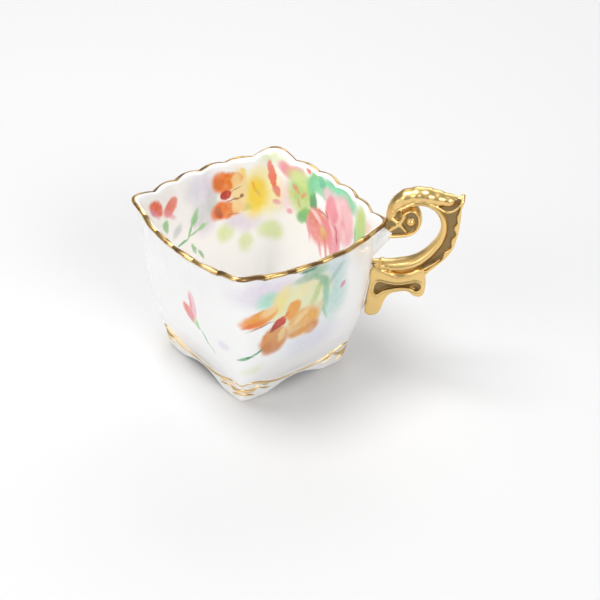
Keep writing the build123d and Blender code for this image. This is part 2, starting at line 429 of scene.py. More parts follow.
def to_metres(piece):
    """Brings a piece from millimetres to metres, its object left unscaled at the origin."""
    tidy_select(piece)
    bpy.ops.transform.resize(value=(MM, MM, MM), center_override=(0, 0, 0))
    bpy.ops.object.transform_apply(location=True, rotation=True, scale=True)


def finish(piece, materials, slot, *nodes):
    """Turns a piece to metres, gives it its materials, hangs it on the root body and hides the CAD nodes it
    stands for; slot is not used.
    """
    to_metres(piece)
    for material in materials:
        piece.data.materials.append(material)
    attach(piece, "root")
    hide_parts(*nodes)


# ---------------------------------------------------------------------------------- materials


def add(tree, kind, settings=(), inputs=()):
    """Adds a node; an input given as a socket is linked, and any other value is set."""
    node = tree.nodes.new("ShaderNode" + kind)
    for name, value in dict(settings).items():
        setattr(node, name, value)
    for key, value in dict(inputs).items():
        if isinstance(value, bpy.types.NodeSocket):
            tree.links.new(value, node.inputs[key])
        else:
            node.inputs[key].default_value = value
    return node


# Enamel colours, thinned over white glaze.
TONES = {
    "lilac": "#dccfe4", "lilac blue": "#ccd6ea", "teal": "#a4d2c8", "mint": "#8fe3b8",
    "grey mint": "#c2d6cf", "cream": "#f6dda0", "peach": "#f9c987", "green cream": "#e9eabb",
    "yellow": "#f6d636", "pale yellow": "#f7efb2", "olive": "#c6c67a", "orange": "#f0931f",
    "deep orange": "#e5651c", "golden": "#eda63a", "burnt": "#cf7f40", "brown orange": "#e2a055",
    "tan": "#e8bf80", "red": "#d4421a", "deep red": "#a32414", "brown": "#8d5a3a", "green": "#72b67c",
    "leaf": "#90cc7c", "bright leaf": "#6cc556", "dark leaf": "#2f8560", "yellow leaf": "#cfe07e",
    "pale leaf": "#dcebb0", "grey green": "#a9bfb0", "pink": "#f0a4b2", "pale pink": "#f6cfd2",
    "rose": "#e8848e", "salmon": "#e37f70", "coral": "#f0958a", "red orange": "#e85a28",
    "magenta": "#cf6fa6", "calyx": "#c6e2a0",
}

# Brush strokes on the walls: millimetres along the wall and up, half length, half width, turn in
# degrees, bend, taper, softness, strength, and the enamels at the stroke's start and end.
OUTSIDE_STROKES = (
    (4.0, 22.6, 5.5, 2.6, 0, 0, 0, 1.0, 0.5, "lilac", "lilac"),
    (12.0, 9.6, 5.2, 2.8, 10, 0, 0, 1.0, 0.4, "lilac blue", "lilac"),
    (16.3, 22.0, 3.4, 2.6, 80, 0, 0, 1.0, 0.55, "teal", "lilac blue"),
    (16.6, 16.2, 4.2, 2.3, 80, 0, 0, 1.0, 0.5, "teal", "teal"),
    (-2.8, 11.7, 1.1, 0.8, 0, 0, 0, 1.0, 0.4, "lilac", "lilac"),
    (1.5, 7.2, 1.8, 0.9, 20, 0, 0, 1.0, 0.3, "pale leaf", "pale leaf"),
    (4.2, 20.8, 2.0, 1.5, 30, 0, 0, 0.9, 0.6, "mint", "teal"),
    (10.0, 18.9, 5.6, 4.1, 32, 0.1, 0, 0.6, 0.95, "green cream", "green cream"),
    (6.3, 20.2, 3.0, 1.3, 72, 0.2, 0, 0.9, 0.6, "yellow", "pale yellow"),
    (10.2, 20.6, 2.6, 1.2, 45, 0.2, 0, 1.0, 0.4, "pale yellow", "cream"),
    (13.0, 18.6, 3.0, 0.7, 72, 0.2, 0, 0.9, 0.5, "olive", "leaf"),
    (13.6, 15.2, 2.2, 0.9, 75, 0, 0, 0.8, 0.5, "olive", "tan"),
    (11.6, 23.6, 3.0, 1.3, 12, 0, 0.3, 0.9, 0.75, "grey green", "green"),
    (11.2, 24.9, 1.7, 0.45, 5, 0, 0, 0.7, 0.8, "dark leaf", "dark leaf"),
    (14.0, 21.6, 2.2, 0.8, -50, 0.2, 0.2, 0.8, 0.75, "green", "grey green"),
    (14.9, 18.6, 3.2, 0.6, -86, 0.2, 0, 0.8, 0.7, "green", "teal"),
    (14.8, 14.6, 1.6, 0.35, -75, 0, 0, 0.8, 0.5, "green", "teal"),
    (16.6, 21.6, 2.4, 0.6, 55, 0.2, 0.3, 0.9, 0.65, "grey green", "teal"),
    (2.9, 17.7, 3.0, 1.45, 17, -0.15, -0.1, 0.4, 0.92, "orange", "golden"),
    (4.4, 18.7, 1.6, 0.8, 22, -0.1, 0, 0.5, 0.85, "peach", "cream"),
    (2.0, 16.9, 1.8, 0.5, 12, 0.2, 0, 0.7, 0.8, "red orange", "orange"),
    (2.9, 16.2, 2.3, 0.18, 14, 0.6, 0, 0.6, 0.6, "brown", "burnt"),
    (10.3, 14.0, 3.5, 2.7, 28, 0, 0.1, 0.35, 0.92, "tan", "golden"),
    (8.7, 17.3, 1.9, 1.2, 65, 0, 0.2, 0.35, 0.9, "orange", "golden"),
    (12.4, 12.3, 1.6, 1.2, 35, 0, 0, 0.6, 0.7, "brown orange", "burnt"),
    (9.6, 12.2, 1.9, 0.6, 10, 0, 0, 0.7, 0.6, "burnt", "golden"),
    (10.3, 15.4, 2.0, 0.6, 40, 0, 0, 0.7, 0.7, "cream", "peach"),
    (5.2, 12.7, 2.9, 2.5, 72, 0, -0.1, 0.38, 0.92, "burnt", "brown orange"),
    (6.7, 13.1, 1.5, 0.7, 75, 0, 0, 0.6, 0.85, "tan", "cream"),
    (4.0, 11.4, 1.4, 0.9, 70, 0, 0, 0.7, 0.6, "burnt", "burnt"),
    (3.4, 13.4, 1.2, 0.5, 75, 0, 0, 0.7, 0.5, "orange", "burnt"),
    (8.0, 14.2, 1.4, 0.35, -55, 0, 0, 0.6, 0.7, "cream", "tan"),
    (5.9, 15.7, 1.6, 0.85, 33, 0.1, 0.2, 0.25, 0.97, "deep red", "red"),
    (4.9, 14.7, 0.6, 0.3, 20, 0, 0, 0.5, 0.7, "deep red", "brown"),
    (7.5, 16.9, 0.9, 0.3, 50, 0, 0, 0.5, 0.7, "red orange", "orange"),
    (2.3, 11.0, 1.2, 0.24, 35, 0.3, 0, 0.6, 0.75, "green", "dark leaf"),
    (0.6, 10.1, 1.2, 0.3, 12, 0.2, 0, 0.6, 0.85, "green", "dark leaf"),
    (-10.1, 15.3, 2.9, 0.9, 96, -0.1, 0, 0.4, 0.85, "pink", "pale pink"),
    (-10.6, 15.4, 1.9, 0.2, 92, 0, 0, 0.7, 0.7, "coral", "rose"),
    (-11.2, 13.5, 1.9, 1.05, -48, 0.1, -0.1, 0.3, 0.92, "coral", "rose"),
    (-11.6, 13.9, 1.0, 0.45, -48, 0, 0, 0.6, 0.7, "red orange", "coral"),
    (-9.2, 12.2, 1.1, 0.62, -55, 0, -0.3, 0.4, 0.85, "calyx", "leaf"),
    (-7.4, 10.8, 1.6, 0.2, -52, 0.1, 0, 0.5, 0.8, "green", "green"),
    (-5.6, 9.3, 1.2, 0.14, -38, 0.2, 0, 0.6, 0.6, "green", "grey green"),
    (18.3, 18.7, 0.7, 0.35, 60, 0, 0, 0.6, 0.8, "magenta", "pink"),
)
INSIDE_STROKES = (
    (3.6, 15.0, 2.4, 1.7, 0, 0, 0, 1.0, 0.5, "lilac", "lilac"),
    (6.4, 16.2, 2.2, 1.6, 0, 0, 0, 1.0, 0.5, "lilac", "lilac"),
    (12.4, 18.2, 3.0, 2.4, 80, 0, 0, 1.0, 0.5, "lilac", "grey green"),
    (13.0, 23.2, 2.8, 2.4, 0, 0, 0, 1.0, 0.5, "lilac", "lilac blue"),
    (11.0, 21.0, 2.2, 1.2, 80, 0, 0, 1.0, 0.5, "grey green", "lilac"),
    (-2.0, 19.5, 2.4, 2.6, 0, 0, 0, 1.0, 0.35, "pale pink", "pink"),
    (8.3, 14.3, 1.8, 1.5, 30, 0, 0, 0.9, 0.65, "pale leaf", "yellow leaf"),
    (4.3, 11.6, 1.7, 1.4, 60, 0, 0, 0.9, 0.6, "pale leaf", "yellow leaf"),
    (0.0, 13.0, 2.0, 1.6, 0, 0, 0, 0.9, 0.65, "yellow leaf", "pale leaf"),
    (19.2, 22.4, 1.6, 1.15, 128, 0.1, -0.15, 0.45, 0.9, "red orange", "coral"),
    (22.3, 23.2, 1.9, 1.0, 46, -0.1, 0.2, 0.45, 0.9, "red orange", "red orange"),
    (19.3, 21.1, 1.4, 0.45, 40, 0, 0, 0.7, 0.6, "pink", "rose"),
    (22.6, 22.5, 1.4, 0.4, 45, 0, 0, 0.7, 0.55, "pink", "magenta"),
    (20.2, 19.4, 1.3, 0.6, 75, 0, 0.3, 0.6, 0.7, "green", "leaf"),
    (17.8, 18.0, 1.3, 0.7, -60, 0, 0, 0.9, 0.5, "grey green", "lilac"),
    (16.8, 15.6, 1.2, 0.25, -18, 0.2, 0, 0.6, 0.75, "green", "green"),
    (15.4, 17.1, 1.3, 0.27, -72, 0, 0, 0.6, 0.75, "green", "leaf"),
    (14.4, 19.2, 1.5, 0.6, -72, 0.1, 0.3, 0.6, 0.7, "leaf", "green"),
    (14.5, 16.6, 1.2, 0.22, -25, 0, 0, 0.6, 0.6, "green", "leaf"),
    (12.9, 17.1, 0.9, 0.45, -10, 0, 0.3, 0.7, 0.6, "leaf", "leaf"),
    (14.6, 13.8, 1.1, 0.3, 65, 0.2, 0, 0.6, 0.65, "green", "leaf"),
    (13.3, 12.4, 1.1, 0.3, 65, 0.2, 0, 0.6, 0.65, "green", "leaf"),
    (0.6, 19.2, 4.0, 1.9, 88, 0, 0, 0.9, 0.75, "pale yellow", "pale yellow"),
    (2.7, 19.8, 4.3, 2.9, 88, 0, 0, 0.6, 0.95, "pale yellow", "pale yellow"),
    (2.7, 19.2, 3.4, 2.0, 82, 0.1, 0, 0.8, 0.92, "yellow", "yellow"),
    (4.7, 17.8, 1.3, 0.7, 20, 0, 0, 0.7, 0.7, "olive", "yellow"),
    (4.9, 21.4, 1.1, 0.5, 80, 0, 0, 0.7, 0.6, "olive", "yellow"),
    (3.2, 21.0, 1.1, 0.2, 70, 0, 0, 0.6, 0.6, "golden", "orange"),
    (2.4, 19.8, 1.2, 0.18, 60, 0, 0, 0.6, 0.5, "golden", "olive"),
    (5.1, 23.5, 1.2, 0.5, 80, 0.2, 0.3, 0.5, 0.85, "yellow", "yellow"),
    (5.9, 20.7, 3.7, 1.6, 86, 0, 0, 0.6, 0.9, "cream", "cream"),
    (8.1, 22.9, 2.8, 1.6, 6, -0.25, 0.3, 0.42, 0.95, "orange", "deep orange"),
    (9.6, 22.9, 1.0, 0.7, 20, 0, 0, 0.6, 0.7, "deep orange", "burnt"),
    (6.5, 22.7, 1.2, 0.8, 80, 0, 0, 0.5, 0.85, "cream", "peach"),
    (8.5, 18.4, 2.7, 1.6, 18, 0.2, 0.35, 0.42, 0.95, "orange", "deep orange"),
    (9.8, 18.3, 1.1, 0.6, 70, 0, 0, 0.6, 0.8, "deep red", "burnt"),
    (6.2, 18.4, 1.3, 1.0, 70, 0, 0, 0.5, 0.85, "peach", "cream"),
    (8.3, 21.0, 1.1, 0.7, 8, 0, 0, 0.3, 0.97, "red", "deep red"),
    (5.3, 20.0, 0.45, 0.3, 0, 0, 0, 0.5, 0.85, "brown", "brown"),
    (6.7, 19.8, 1.5, 0.16, 6, 0, 0, 0.6, 0.7, "brown", "burnt"),
    (6.3, 21.4, 1.0, 0.13, -15, 0, 0, 0.6, 0.6, "brown", "burnt"),
    (7.0, 17.3, 1.3, 0.14, 12, 0, 0, 0.6, 0.55, "burnt", "brown"),
    (0.0, 25.4, 2.2, 1.0, 0, 0, 0, 1.0, 0.5, "pale leaf", "pale leaf"),
    (0.3, 22.6, 2.5, 0.5, 76, 0.2, 0.2, 0.35, 0.92, "red orange", "coral"),
    (-0.5, 19.9, 0.9, 0.6, 70, 0, 0, 0.6, 0.7, "red orange", "rose"),
    (-0.6, 18.0, 0.6, 0.5, 0, 0, 0, 0.8, 0.7, "pink", "rose"),
    (-2.1, 24.0, 1.6, 1.0, 20, 0, 0, 0.7, 0.85, "rose", "pink"),
    (-4.2, 24.4, 1.6, 0.9, -10, 0, 0, 0.7, 0.8, "pink", "rose"),
    (-6.5, 25.5, 0.7, 0.45, 60, 0, 0, 0.6, 0.8, "red orange", "coral"),
    (-5.6, 20.8, 3.6, 3.0, 80, 0, 0, 0.7, 0.85, "yellow leaf", "leaf"),
    (-5.4, 23.4, 2.8, 1.2, 10, 0, 0, 0.9, 0.7, "yellow leaf", "pale leaf"),
    (-8.4, 20.8, 2.4, 0.8, 75, 0.2, 0, 0.6, 0.9, "dark leaf", "green"),
    (-6.6, 18.0, 2.2, 1.1, -35, 0, 0, 0.6, 0.85, "bright leaf", "green"),
    (-7.8, 24.0, 2.0, 1.1, -70, 0, 0, 0.6, 0.85, "bright leaf", "mint"),
    (-4.4, 21.6, 1.0, 0.4, 30, 0, 0, 0.8, 0.6, "brown orange", "rose"),
    (-5.9, 21.2, 0.8, 0.35, -40, 0, 0, 0.8, 0.6, "rose", "brown orange"),
    (-5.0, 19.6, 0.8, 0.3, 60, 0, 0, 0.8, 0.6, "rose", "olive"),
    (-3.0, 17.1, 0.7, 0.5, 0, 0, 0, 0.8, 0.6, "pink", "rose"),
    (-3.4, 20.6, 0.6, 0.5, 0, 0, 0, 0.9, 0.5, "yellow leaf", "peach"),
    (-12.8, 24.3, 6.2, 1.6, -3, 0.2, 0, 0.5, 0.92, "green", "mint"),
    (-14.2, 24.6, 4.2, 0.8, -3, 0.15, 0, 0.6, 0.8, "mint", "mint"),
    (-10.0, 24.2, 1.9, 0.6, 60, 0.2, 0, 0.6, 0.8, "dark leaf", "mint"),
    (-13.0, 23.3, 3.1, 1.3, 5, 0, 0, 0.5, 0.9, "grey mint", "pale pink"),
    (-16.0, 21.2, 3.7, 2.7, 66, 0, 0, 0.4, 0.93, "pink", "pale pink"),
    (-12.9, 21.7, 2.1, 1.6, 70, 0, 0, 0.35, 0.92, "rose", "pink"),
    (-15.9, 21.0, 2.4, 0.5, 65, 0.1, 0, 0.7, 0.55, "rose", "pink"),
    (-9.9, 17.6, 3.0, 2.4, 78, 0, 0, 0.42, 0.92, "coral", "salmon"),
    (-13.9, 17.2, 2.8, 1.9, 74, 0, 0, 0.4, 0.9, "pink", "rose"),
    (-7.8, 16.4, 2.1, 0.5, 75, 0, 0, 0.6, 0.75, "pink", "rose"),
    (-12.2, 17.9, 2.4, 1.5, 80, 0, 0, 0.45, 0.9, "coral", "rose"),
    (-11.4, 17.2, 1.2, 0.85, 60, 0, 0, 0.5, 0.9, "brown orange", "tan"),
    (-12.9, 20.1, 1.7, 0.2, 35, 0.3, 0, 0.6, 0.75, "deep red", "salmon"),
    (-14.6, 18.4, 1.5, 0.18, 75, 0.2, 0, 0.6, 0.75, "deep red", "rose"),
    (-9.6, 19.3, 1.7, 0.45, 24, 0.2, 0, 0.7, 0.8, "pale pink", "pale pink"),
    (-14.6, 22.6, 1.6, 0.6, 40, 0.2, 0, 0.8, 0.7, "pale pink", "pale pink"),
    (-16.6, 18.6, 1.8, 0.5, 78, 0, 0, 0.8, 0.6, "pale pink", "pale pink"),
    (-11.0, 20.4, 1.9, 0.2, 4, 0.3, 0, 0.6, 0.7, "deep red", "coral"),
    (-12.3, 15.0, 2.0, 0.35, 76, 0, 0, 0.7, 0.75, "rose", "salmon"),
    (-13.3, 19.2, 1.9, 0.5, 62, 0.3, 0, 0.7, 0.8, "pale pink", "pink"),
    (-13.6, 15.4, 1.9, 0.3, 82, 0, 0, 0.7, 0.65, "rose", "pink"),
    (-10.9, 14.4, 1.5, 0.3, 72, 0, 0, 0.7, 0.65, "pink", "rose"),
    (-21.0, 22.0, 3.4, 2.0, 80, 0, 0, 0.6, 0.9, "leaf", "yellow leaf"),
    (-19.4, 20.0, 1.9, 0.4, 80, 0, 0, 0.7, 0.6, "green", "leaf"),
    (-23.4, 22.2, 2.2, 1.1, 80, 0, 0, 0.9, 0.65, "peach", "pale pink"),
)


def brush_stroke_group():
    """One stroke of enamel: a bent, tapered soft oval of two colours laid over what is under it."""
    tree = bpy.data.node_groups.new("enamel stroke", "ShaderNodeTree")
    sockets = (
        ("Under", "NodeSocketColor"), ("Place", "NodeSocketVector"), ("Mottle", "NodeSocketFloat"),
        ("Centre", "NodeSocketVector"), ("Turn", "NodeSocketVector"), ("Size", "NodeSocketVector"),
        ("Bend", "NodeSocketFloat"), ("Taper", "NodeSocketFloat"), ("Softness", "NodeSocketFloat"),
        ("Strength", "NodeSocketFloat"), ("Start", "NodeSocketColor"), ("End", "NodeSocketColor"),
    )
    for name, kind in sockets:
        tree.interface.new_socket(name, in_out="INPUT", socket_type=kind)
    tree.interface.new_socket("Colour", in_out="OUTPUT", socket_type="NodeSocketColor")
    given = tree.nodes.new("NodeGroupInput").outputs
    local = add(tree, "Mapping", {"vector_type": "TEXTURE"}, {
        "Vector": given["Place"], "Location": given["Centre"], "Rotation": given["Turn"],
        "Scale": given["Size"]})
    axes = add(tree, "SeparateXYZ", inputs={0: local.outputs[0]})
    square = add(tree, "Math", {"operation": "MULTIPLY"}, {0: axes.outputs[0], 1: axes.outputs[0]})
    bent = add(tree, "Math", {"operation": "MULTIPLY_ADD"},
               {0: square.outputs[0], 1: given["Bend"], 2: axes.outputs[1]})
    width = add(tree, "Math", {"operation": "MULTIPLY_ADD"}, {0: axes.outputs[0], 1: given["Taper"], 2: 1.0})
    narrowed = add(tree, "Math", {"operation": "DIVIDE"}, {0: bent.outputs[0], 1: width.outputs[0]})
    shaped = add(tree, "CombineXYZ", inputs={0: axes.outputs[0], 1: narrowed.outputs[0]})
    reach = add(tree, "VectorMath", {"operation": "LENGTH"}, {0: shaped.outputs[0]})
    inner = add(tree, "Math", {"operation": "MULTIPLY_ADD"}, {0: given["Softness"], 1: -0.7, 2: 1.0})
    outer = add(tree, "Math", {"operation": "MULTIPLY_ADD"}, {0: given["Softness"], 1: 0.5, 2: 1.0})
    thickness = add(tree, "Math", {"operation": "MULTIPLY_ADD"}, {0: given["Mottle"], 1: 0.5, 2: 0.75})
    laid_on = add(tree, "Math", {"operation": "MULTIPLY", "use_clamp": True},
                  {0: given["Strength"], 1: thickness.outputs[0]})
    cover = add(tree, "MapRange", {"interpolation_type": "SMOOTHSTEP"}, {
        "Value": reach.outputs["Value"], "From Min": outer.outputs[0], "From Max": inner.outputs[0],
        "To Min": 0.0, "To Max": laid_on.outputs[0]})
    streaked = add(tree, "Math", {"operation": "MULTIPLY_ADD"},
                   {0: given["Mottle"], 1: 1.6, 2: axes.outputs[0]})
    blend = add(tree, "MapRange", {}, {"Value": streaked.outputs[0], "From Min": -0.2, "From Max": 1.8})
    first = add(tree, "Mix", {"data_type": "RGBA"},
                {0: cover.outputs[0], 6: given["Under"], 7: given["Start"]})
    turned = add(tree, "Math", {"operation": "MULTIPLY"}, {0: cover.outputs[0], 1: blend.outputs[0]})
    laid = add(tree, "Mix", {"data_type": "RGBA"},
               {0: turned.outputs[0], 6: first.outputs[2], 7: given["End"]})
    out = tree.nodes.new("NodeGroupOutput")
    tree.links.new(laid.outputs[2], out.inputs[0])
    return tree


def new_material(name):
    """An empty node material with its shader."""
    material = bpy.data.materials.new(name)
    material.use_nodes = True
    return material, material.node_tree, material.node_tree.nodes["Principled BSDF"]


def glazed_porcelain(name, white, strokes=(), group=None):
    """Hard porcelain under a clear fired glaze: a milky white that shows sharp, slightly wavy gloss.

    Overglaze enamel strokes are laid on it in order, with edges that wander as a loaded brush does.
    """
    material, tree, shader = new_material(name)
    shader.inputs["Roughness"].default_value = 0.14
    shader.inputs["IOR"].default_value = 1.5
    shader.inputs["Coat Weight"].default_value = 0.35
    shader.inputs["Coat Roughness"].default_value = 0.04
    place = add(tree, "TexCoord")
    ripple = add(tree, "TexNoise", {}, {"Vector": place.outputs["Object"], "Scale": 260.0, "Detail": 2.0})
    bump = add(tree, "Bump", {}, {"Strength": 0.05, "Distance": 0.0003, "Height": ripple.outputs[0]})
    tree.links.new(bump.outputs[0], shader.inputs["Normal"])
    tint = add(tree, "TexNoise", {}, {"Vector": place.outputs["Object"], "Scale": 90.0, "Detail": 3.0})
    body = add(tree, "Mix", {"data_type": "RGBA"}, {
        0: tint.outputs[0], 6: (*white, 1.0), 7: (*[channel * 0.97 for channel in white], 1.0)})
    top = body.outputs[2]
    if strokes:
        wall = add(tree, "UVMap", {"uv_map": "wall"})
        on_wall_mm = add(tree, "Mapping", {}, {
            "Vector": wall.outputs[0], "Location": (-UV_SPAN / 2, 0, 0), "Scale": (UV_SPAN, UV_SPAN, 1)})
        wander = add(tree, "TexNoise", {}, {"Vector": on_wall_mm.outputs[0], "Scale": 0.55, "Detail": 4.0})
        centred = add(tree, "VectorMath", {"operation": "SUBTRACT"},
                      {0: wander.outputs[1], 1: (0.5, 0.5, 0.5)})
        brushed = add(tree, "VectorMath", {"operation": "MULTIPLY_ADD"}, {
            0: centred.outputs[0], 1: (WANDER, WANDER, 0.0), 2: on_wall_mm.outputs[0]})
        mottle = add(tree, "TexNoise", {}, {"Vector": on_wall_mm.outputs[0], "Scale": 1.1, "Detail": 3.0})
        for u, z, long, wide, turn, bend, taper, soft, strength, start, end in strokes:
            stroke = add(tree, "Group", {"node_tree": group}, {
                "Under": top, "Place": brushed.outputs[0], "Mottle": mottle.outputs[0], "Centre": (u, z, 0),
                "Turn": (0, 0, radians(turn)), "Size": (long, wide, 1), "Bend": bend, "Taper": taper,
                "Softness": soft, "Strength": strength,
                "Start": linear(TONES[start]), "End": linear(TONES[end])})
            top = stroke.outputs[0]
    tree.links.new(top, shader.inputs["Base Color"])
    return material


def burnished_gold(name, gold, wear_and_shade, wear):
    """Liquid bright gold fired on glaze: a thin mirror film, warm and uneven, brown where rubbed thin and as
    painted shade in its creases.
    """
    material, tree, shader = new_material(name)
    shader.inputs["Metallic"].default_value = 1.0
    place = add(tree, "TexCoord")
    patches = add(tree, "TexNoise", {}, {"Vector": place.outputs["Object"], "Scale": 420.0, "Detail": 4.0})
    thin = add(tree, "MapRange", {"interpolation_type": "SMOOTHSTEP"}, {
        "Value": patches.outputs[0], "From Min": 0.68 - wear, "From Max": 0.8 - wear, "To Max": 0.85})
    # Painted shade: creases, found from the mesh's pointiness, are turned to the same brown as thin gold.
    form = add(tree, "NewGeometry")
    painted_crease_shade = add(tree, "MapRange", {}, {
        "Value": form.outputs["Pointiness"], "From Min": 0.5, "From Max": 0.42, "To Max": 0.9})
    # The brown mix holds both the rubbed-thin patches and the painted crease shade.
    brown = add(tree, "Math", {"operation": "MAXIMUM"}, {0: thin.outputs[0], 1: painted_crease_shade.outputs[0]})
    film = add(tree, "Mix", {"data_type": "RGBA"}, {0: brown.outputs[0], 6: (*gold, 1.0), 7: (*wear_and_shade, 1.0)})
    tree.links.new(film.outputs[2], shader.inputs["Base Color"])
    dull = add(tree, "MapRange", {}, {"Value": patches.outputs[0], "To Min": 0.22, "To Max": 0.42})
    tree.links.new(dull.outputs[0], shader.inputs["Roughness"])
    waves = add(tree, "TexNoise", {}, {"Vector": place.outputs["Object"], "Scale": 700.0, "Detail": 1.0})
    bump = add(tree, "Bump", {}, {"Strength": 0.14, "Distance": 0.0001, "Height": waves.outputs[0]})
    tree.links.new(bump.outputs[0], shader.inputs["Normal"])
    return material


# ---------------------------------------------------------------------------------- settings


def length(name, description, millimetres):
    """A length property that the sidebar shows in the scene's units."""
    return FloatProperty(name=name, description=description, default=millimetres * MM, min=0.0,
                         unit="LENGTH", precision=5)


def colour(name, description, hex_colour):
    """A colour property, given as sRGB hex."""
    return FloatVectorProperty(name=name, description=description, subtype="COLOR", size=3, min=0.0,
                               max=1.0, default=linear(hex_colour)[:3])


class TeacupSizes(bpy.types.PropertyGroup):
    """The teacup's sizes."""

    rim_height: length("Rim height", "Height of the lip on a side lobe", 26.0)
    notch_depth: length("Notch depth", "How far the lip dips between two lobes", 0.28)
    corner_rise: length("Corner rise", "How far the lip's corners stand above its side lobes", 0.6)
    wall: length("Wall", "Thickness of the wall at the foot", 1.15)
    lip: length("Lip", "Thickness of the wall at the lip", 0.9)
    floor_top: length("Floor top", "Height of the floor inside the bowl", 3.5)
    recess_height: length("Recess height", "Depth of the recess under the bowl", 2.0)
    arch_height: length("Arch height", "Height of the arch between two feet", 1.3)
    arch_half_width: length("Arch half-width", "Half the width of the arch between two feet", 5.7)
    gilt: length("Gilt", "How far the gold stands on the glaze", 0.1)
    band: length("Gold band", "Width of the gold band outside the lip", 0.56)
    foot_line: length("Foot line", "Half-width of the gilded scroll lines on the feet", 0.2)
    roundness: IntProperty(name="Roundness", description="Steps round the bowl", default=480, min=96, max=640)


class TeacupColours(bpy.types.PropertyGroup):
    """The teacup's colours."""

    glaze: colour("Glaze", "White of the glazed porcelain", "#fbfbfa")
    gold: colour("Gold", "Burnished gold of the handle", "#f3d08a")
    rim_gold: colour("Rim gold", "Thinner, browner gold on the lip", "#dcb878")
    foot_gold: colour("Foot gold", "Pale gold of the scrolls on the feet", "#fadba8")
    # This brown is also the painted shade laid in the gold's creases.
    worn_gold: colour("Worn gold", "Thin gold that shows brown", "#8a6a45")
    # Painted shade: a darker gold laid on the handle's recesses.
    sunken_gold: colour("Sunken gold", "Darker gold in the handle's recesses", "#947e58")
    floor: colour("Floor", "Pale floor", "#e1e1e1")


def in_millimetres():
    """The teacup's sizes in millimetres, as the section functions use them."""
    sizes = bpy.context.scene.teacup_sizes
    lengths = [name for name in TeacupSizes.__annotations__ if name != "roundness"]
    return type("Millimetres", (), {name: getattr(sizes, name) / MM for name in lengths})


# ---------------------------------------------------------------------------------- the bowl


class TEACUP_OT_bowl(bpy.types.Operator):
    """Model the square bowl and paint its glaze"""

    bl_idname = "teacup.bowl"
    bl_label = "Porcelain Bowl"

    def execute(self, context):
        cup, colours = in_millimetres(), context.scene.teacup_colours
        bowl = wrapped_grid("porcelain_bowl", context.scene.teacup_sizes.roundness,
                            lambda angle: bowl_section(angle, cup), closed=False)
        group = brush_stroke_group()
        glazes = [glazed_porcelain("white_glaze", colours.glaze)]
        for name, strokes in (("outside", OUTSIDE_STROKES), ("inside", INSIDE_STROKES)):
            for side, direction in (("anticlockwise", 1), ("clockwise", -1)):
                reaching = [stroke for stroke in strokes if direction * stroke[0] > -stroke[2] - WANDER]
                glaze_name = f"enamelled_glaze_{name}_{side}"
                glazes.append(glazed_porcelain(glaze_name, colours.glaze, reaching, group))
        finish(bowl, glazes, "porcelain", "cup_body")
        return {"FINISHED"}


class TEACUP_OT_rim_gilding(bpy.types.Operator):
    """Lay the gold band over the scalloped lip"""

    bl_idname = "teacup.rim_gilding"
    bl_label = "Rim Gilding"

    def execute(self, context):
        cup, colours = in_millimetres(), context.scene.teacup_colours
        band = wrapped_grid("rim_gold_band", 2 * context.scene.teacup_sizes.roundness,
                            lambda angle: gilding_section(angle, cup), closed=True)
        gold = burnished_gold("worn_and_shaded_rim_gold", colours.rim_gold, colours.worn_gold, wear=0.21)
        finish(band, [gold], "rim_gold", "rim_gilding")
        return {"FINISHED"}


# The scrolls on each side of a foot: distance from the corner, height, and the line's half-width as a
# share of the foot line.
FOOT_SCROLLS = (
    ((0.0, 3.6, 0.9), (1.4, 4.0, 1.1), (2.8, 3.5, 1.3), (4.2, 2.7, 1.2), (5.8, 2.1, 0.9), (7.6, 1.85, 0.7),
     (10.0, 1.9, 0.35)),
    ((0.0, 2.5, 1.5), (1.0, 2.1, 1.8), (2.0, 2.2, 1.5), (2.9, 2.6, 0.9)),
    ((0.0, 1.6, 1.3), (0.9, 1.3, 1.1), (1.9, 0.9, 0.6)),
    ((3.4, 3.0, 0.9), (4.1, 2.5, 2.0), (4.8, 2.3, 1.0)),
    ((2.9, 2.0, 0.5), (3.9, 1.5, 0.9), (5.0, 1.2, 0.4)),
)


class TEACUP_OT_foot_gilding(bpy.types.Operator):
    """Lay the gilded scrolls on the four feet"""

    bl_idname = "teacup.foot_gilding"
    bl_label = "Foot Gilding"

    def execute(self, context):
        cup, colours = in_millimetres(), context.scene.teacup_colours
        gold = burnished_gold("foot_scroll_gold", colours.foot_gold, colours.gold, wear=0.1)
        for corner_name, corner in (("right", RIGHT), ("back", BACK), ("left", LEFT), ("front", FRONT)):
            strands = []
            for side in (-1, 1):
                for scroll in FOOT_SCROLLS:
                    line = [(*on_wall(side * u, z, corner), share * cup.foot_line)
                            for u, z, share in scroll]
                    curve = path_curve("scroll", line)
                    curve.data.bevel_depth = 1.0
                    curve.data.bevel_resolution = 3
                    curve.data.use_fill_caps = True
                    strands.append(as_mesh(curve))
            scrolls = melt(corner_name + "_foot_scrolls", strands, voxel=0.07, smoothing=3)
            finish(scrolls, [gold], "foot_gold", corner_name + "_foot_gilding")
        return {"FINISHED"}


# ---------------------------------------------------------------------------------- the handle

